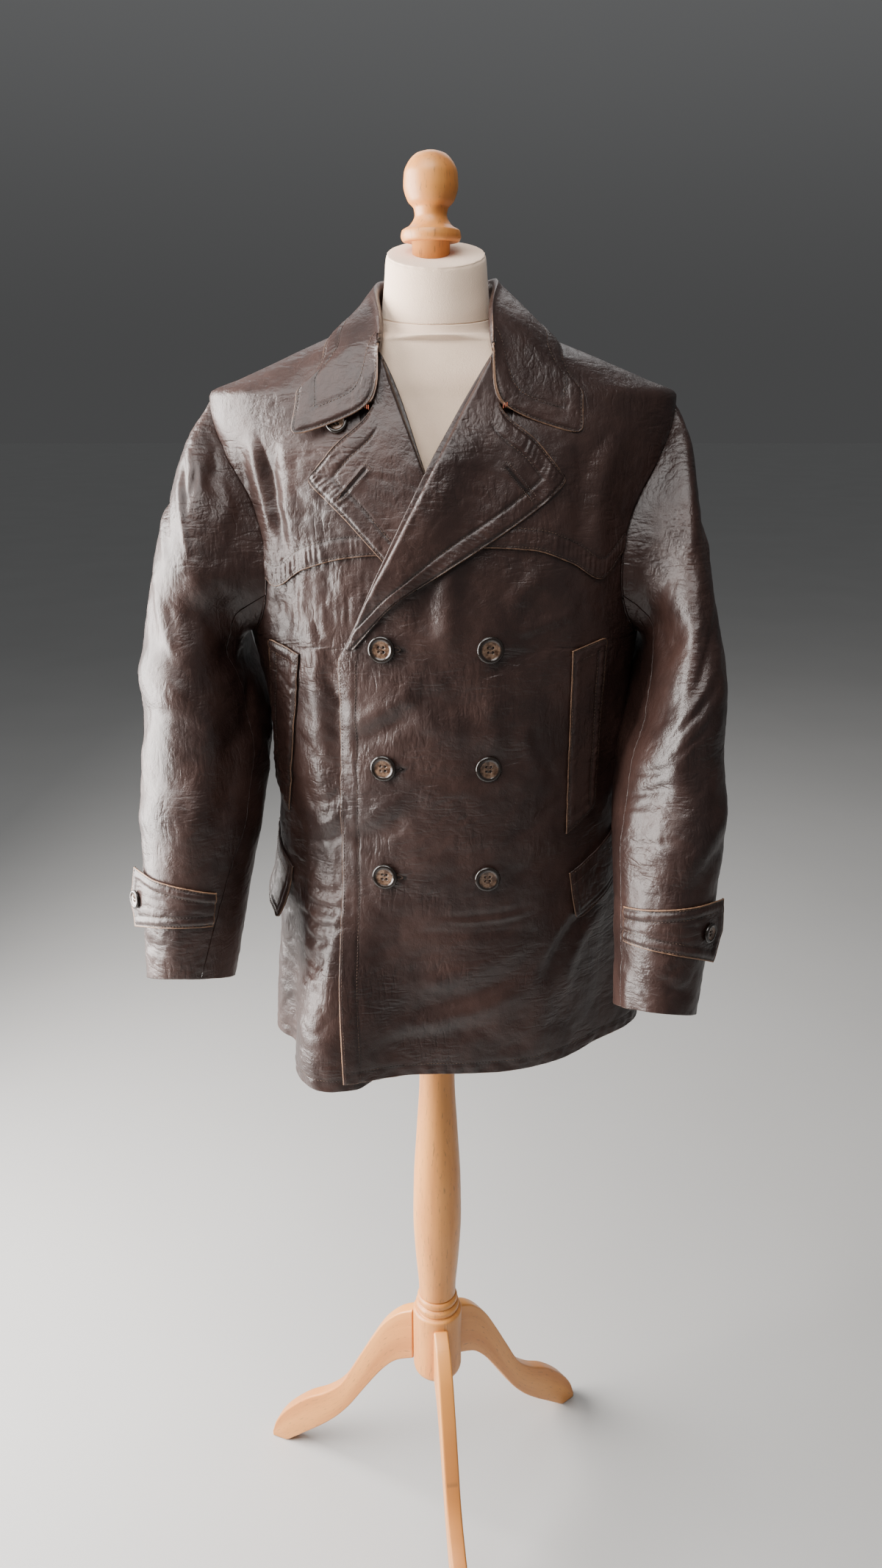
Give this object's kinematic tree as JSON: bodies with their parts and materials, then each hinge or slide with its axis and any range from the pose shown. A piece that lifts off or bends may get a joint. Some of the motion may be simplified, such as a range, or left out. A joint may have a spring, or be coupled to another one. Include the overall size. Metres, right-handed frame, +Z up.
{
  "type": "worn double-breasted leather coat on a limbless dress form with a tripod stand",
  "caption": "Worn dark brown double-breasted leather coat, buttoned over a limbless jersey dress form on a turned wooden tripod stand.",
  "frame": {"origin": "bottom centre of the bounding box, on the floor under the stand", "axes": "+Z up along the post, +X towards the wearer's left side, -Y towards the buttoned front"},
  "size_m": [0.6484, 0.4473, 1.767],
  "materials": {
    "leather": "semi-gloss, grained, worn to tan along the edges",
    "horn": "polished dark horn with a mottled brown middle",
    "jersey": "matte cream knit",
    "beech": "satin varnish"
  },
  "bodies": {
    "root": {"back": "leather", "front_over": "leather", "front_under": "leather", "yoke_left": "leather", "yoke_right": "leather", "lapel_left": "leather", "lapel_right": "leather", "collar": "leather", "sleeve_left_upper": "leather", "sleeve_left_under": "leather", "sleeve_right_upper": "leather", "sleeve_right_under": "leather", "cuff_strap_left": "leather", "cuff_strap_right": "leather", "welt_left": "leather", "welt_right": "leather", "flap_left": "leather", "flap_right": "leather", "button_left_1": "horn", "button_left_2": "horn", "button_left_3": "horn", "button_right_1": "horn", "button_right_2": "horn", "button_right_3": "horn", "cuff_button_left": "horn", "cuff_button_right": "horn", "button_collar": "horn", "dress_form": "jersey", "neck_cap": "jersey", "finial": "beech", "post": "beech", "hub": "beech", "leg_left": "beech", "leg_right": "beech", "leg_front": "beech"}
  },
  "joints": []
}
